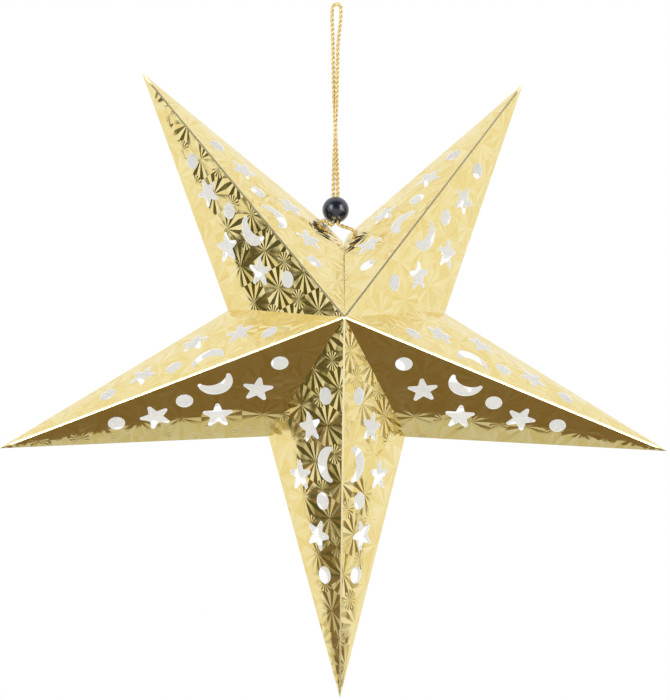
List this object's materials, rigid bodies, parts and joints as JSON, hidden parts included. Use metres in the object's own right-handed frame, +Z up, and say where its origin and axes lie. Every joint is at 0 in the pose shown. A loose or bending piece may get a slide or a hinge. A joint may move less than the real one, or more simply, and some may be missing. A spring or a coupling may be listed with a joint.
{
  "type": "hanging paper star",
  "caption": "Hanging star decoration folded from gold foil card, with die-cut stars, moons and dots, on a gold cord with a round bead that slides down to cinch it shut.",
  "frame": {"origin": "inside the top of the hanging loop, where a hook carries it", "axes": "+X to the right seen from the front, +Y to the back, +Z up along the cord"},
  "size_m": [0.3, 0.103, 0.3252],
  "materials": {
    "gold_foil_card": "mirror gold foil outside, white board inside",
    "gold_cord": "two-ply twisted metallic gold thread",
    "dark_bead": "glossy blue-black"
  },
  "bodies": {
    "star": {"arm_bottom": "gold_foil_card", "arm_lower_right": "gold_foil_card", "arm_upper_right": "gold_foil_card", "arm_upper_left": "gold_foil_card", "arm_lower_left": "gold_foil_card", "hanging_cord": "gold_cord", "knot_left": "gold_cord", "knot_right": "gold_cord"},
    "bead": {"cinch_bead": "dark_bead"}
  },
  "joints": [
    {"name": "bead_slide", "type": "slide", "parent": "star", "child": "bead", "axis": [0, 0, 1], "range_m": [0, 0.068]}
  ]
}
